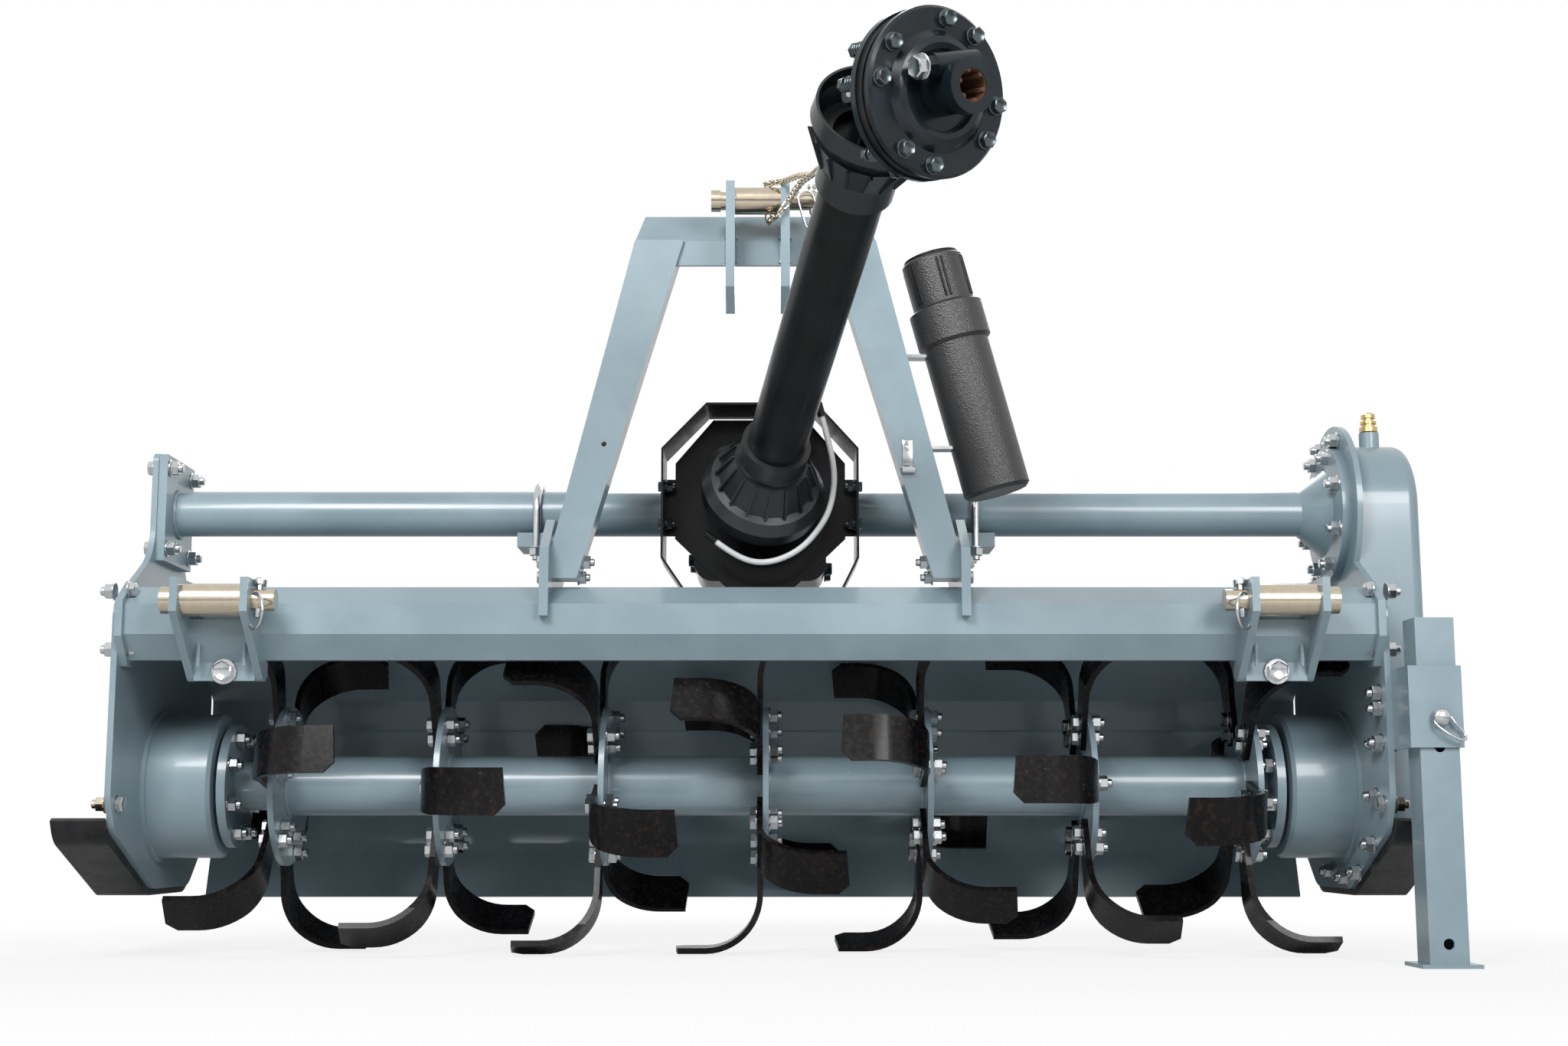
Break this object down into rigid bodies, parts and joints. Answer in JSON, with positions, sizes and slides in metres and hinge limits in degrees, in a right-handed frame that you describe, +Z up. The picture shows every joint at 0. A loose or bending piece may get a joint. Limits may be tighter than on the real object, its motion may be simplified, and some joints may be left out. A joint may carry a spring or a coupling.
{
  "type": "rotary tiller",
  "caption": "Three-point-hitch rotary tiller with a rotor of curved tines, a shielded driveline with slip clutch, skids, tailboard and a parking stand.",
  "frame": {"origin": "on the floor under the middle of the overall width and depth", "axes": "+X to the right seen from the hitch side, +Y rearwards, +Z up"},
  "size_m": [1.834, 1.2112, 1.0275],
  "materials": {
    "grey_paint": "semi-gloss blue-grey enamel",
    "black_paint": "gloss black enamel",
    "tine_paint": "gloss black over forged steel",
    "bare_steel": "machined steel",
    "zinc_plate": "yellow and clear zinc plate",
    "black_plastic": "moulded black polyethylene"
  },
  "bodies": {
    "root": {"axle_tube_left": "grey_paint", "axle_tube_right": "grey_paint", "bearing_drum_left": "grey_paint", "bearing_drum_right": "grey_paint", "front_beam": "grey_paint", "gearbox": "black_paint", "hood": "grey_paint", "input_yoke": "black_paint", "joint_guard": "black_paint", "lower_hitch_left": "grey_paint", "lower_hitch_right": "grey_paint", "lower_pin_left": "zinc_plate", "lower_pin_right": "zinc_plate", "manual_tabs": "zinc_plate", "manual_tube": "black_plastic", "mast_carriers": "grey_paint", "mast_cross": "grey_paint", "mast_leg_left": "grey_paint", "mast_leg_right": "grey_paint", "side_case": "grey_paint", "side_plate_left": "grey_paint", "side_plate_right": "grey_paint", "skid_left": "grey_paint", "skid_right": "grey_paint", "stand_sleeve": "grey_paint", "tailboard_hinge_rod": "zinc_plate", "top_hitch_lugs": "grey_paint", "top_link_pin": "zinc_plate"},
    "rotor": {"rotor_tube": "grey_paint", "rotor_stubs": "grey_paint", "rotor_flanges": "grey_paint", "tines": "tine_paint"},
    "tailboard": {"tailboard": "grey_paint"},
    "cross_lower": {"cross_lower": "bare_steel"},
    "driveline": {"shaft_yoke_lower": "black_paint", "drive_shaft_outer": "black_paint", "shield_tube_lower": "black_plastic", "joint_bell_lower": "black_plastic"},
    "driveline_end": {"drive_shaft_inner": "bare_steel", "shield_tube_upper": "black_plastic", "shaft_yoke_upper": "black_paint", "joint_bell_upper": "black_plastic"},
    "cross_upper": {"cross_upper": "bare_steel"},
    "clutch": {"clutch_yoke": "black_paint", "clutch_back_plate": "black_paint", "clutch_discs": "bare_steel", "clutch_front_plate": "black_paint", "clutch_hub": "black_paint"},
    "stand": {"stand_leg": "grey_paint"}
  },
  "joints": [
    {"name": "rotor_spin", "type": "hinge", "parent": "root", "child": "rotor", "pos_m": [-0.009, 0.323, 0.23248], "axis": [1, 0, 0], "continuous": true},
    {"name": "tailboard_hinge", "type": "hinge", "parent": "root", "child": "tailboard", "pos_m": [-0.009, 0.593, 0.34448], "axis": [1, 0, 0], "range_deg": [0, 60]},
    {"name": "driveline_pitch", "type": "hinge", "parent": "root", "child": "cross_lower", "pos_m": [0.003, 0.173, 0.61748], "axis": [-1, 0, 0], "range_deg": [-44, 14]},
    {"name": "driveline_yaw", "type": "hinge", "parent": "cross_lower", "child": "driveline", "pos_m": [0.003, 0.173, 0.61748], "axis": [0, 0.4648, 0.8854], "range_deg": [-40, 18]},
    {"name": "driveline_slide", "type": "slide", "parent": "driveline", "child": "driveline_end", "axis": [0.1822, -0.8706, 0.4571], "range_m": [0, 0.2]},
    {"name": "clutch_turn", "type": "hinge", "parent": "driveline_end", "child": "cross_upper", "pos_m": [0.1353, -0.45903, 0.9493], "axis": [0, 0.4648, 0.8854], "range_deg": [-68.3, 7.7]},
    {"name": "clutch_tilt", "type": "hinge", "parent": "cross_upper", "child": "clutch", "pos_m": [0.1353, -0.45903, 0.9493], "axis": [0.757, 0.5785, -0.3037], "range_deg": [-69.6, 6.4]},
    {"name": "stand_slide", "type": "slide", "parent": "root", "child": "stand", "axis": [0, 0, 1], "range_m": [0, 0.2]}
  ]
}
